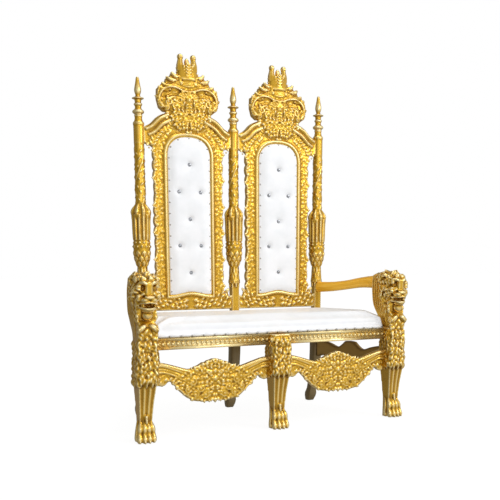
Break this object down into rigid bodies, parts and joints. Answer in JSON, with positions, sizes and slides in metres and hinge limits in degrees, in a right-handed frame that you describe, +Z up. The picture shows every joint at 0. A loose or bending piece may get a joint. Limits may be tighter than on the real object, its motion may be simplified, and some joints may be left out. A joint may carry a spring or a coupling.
{
  "type": "throne",
  "caption": "Wide carved and gilded throne bench with tall padded backs under crowned crests, spired back posts, lion-headed arm posts, paw feet and a long padded seat.",
  "frame": {"origin": "on the floor, under the middle of the whole throne's outline", "axes": "+Z up, +X to the right of someone who faces the throne, and the sitters face -Y"},
  "size_m": [1.4064, 0.6786, 1.831],
  "materials": {
    "gilt_carving": "carved hardwood under bright gold paint, glossy, with darker hollows",
    "white_vinyl": "smooth white vinyl over foam",
    "crystal": "faceted clear crystal over a silver back"
  },
  "bodies": {
    "root": {"lion_post_right": "gilt_carving", "lion_post_left": "gilt_carving", "centre_leg": "gilt_carving", "front_rail_right": "gilt_carving", "front_rail_left": "gilt_carving", "side_rail_right": "gilt_carving", "side_rail_left": "gilt_carving", "back_rail_right": "gilt_carving", "back_rail_left": "gilt_carving", "front_apron_right": "gilt_carving", "front_apron_left": "gilt_carving", "side_apron_right": "gilt_carving", "side_apron_left": "gilt_carving", "back_leg_right": "gilt_carving", "back_leg_left": "gilt_carving", "back_leg_centre": "gilt_carving", "arm_right": "gilt_carving", "arm_left": "gilt_carving", "seat_pad": "white_vinyl", "back_post_right": "gilt_carving", "back_post_left": "gilt_carving", "back_post_centre": "gilt_carving", "spire_right": "gilt_carving", "spire_left": "gilt_carving", "spire_centre": "gilt_carving", "back_frame_right": "gilt_carving", "back_frame_left": "gilt_carving", "crest_right": "gilt_carving", "crest_left": "gilt_carving", "back_pad_right": "white_vinyl", "back_pad_left": "white_vinyl", "button_1_right": "crystal", "button_1_left": "crystal", "button_2_right": "crystal", "button_2_left": "crystal", "button_3_right": "crystal", "button_3_left": "crystal", "button_4_right": "crystal", "button_4_left": "crystal", "button_5_right": "crystal", "button_5_left": "crystal", "button_6_right": "crystal", "button_6_left": "crystal", "button_7_right": "crystal", "button_7_left": "crystal"}
  },
  "joints": []
}
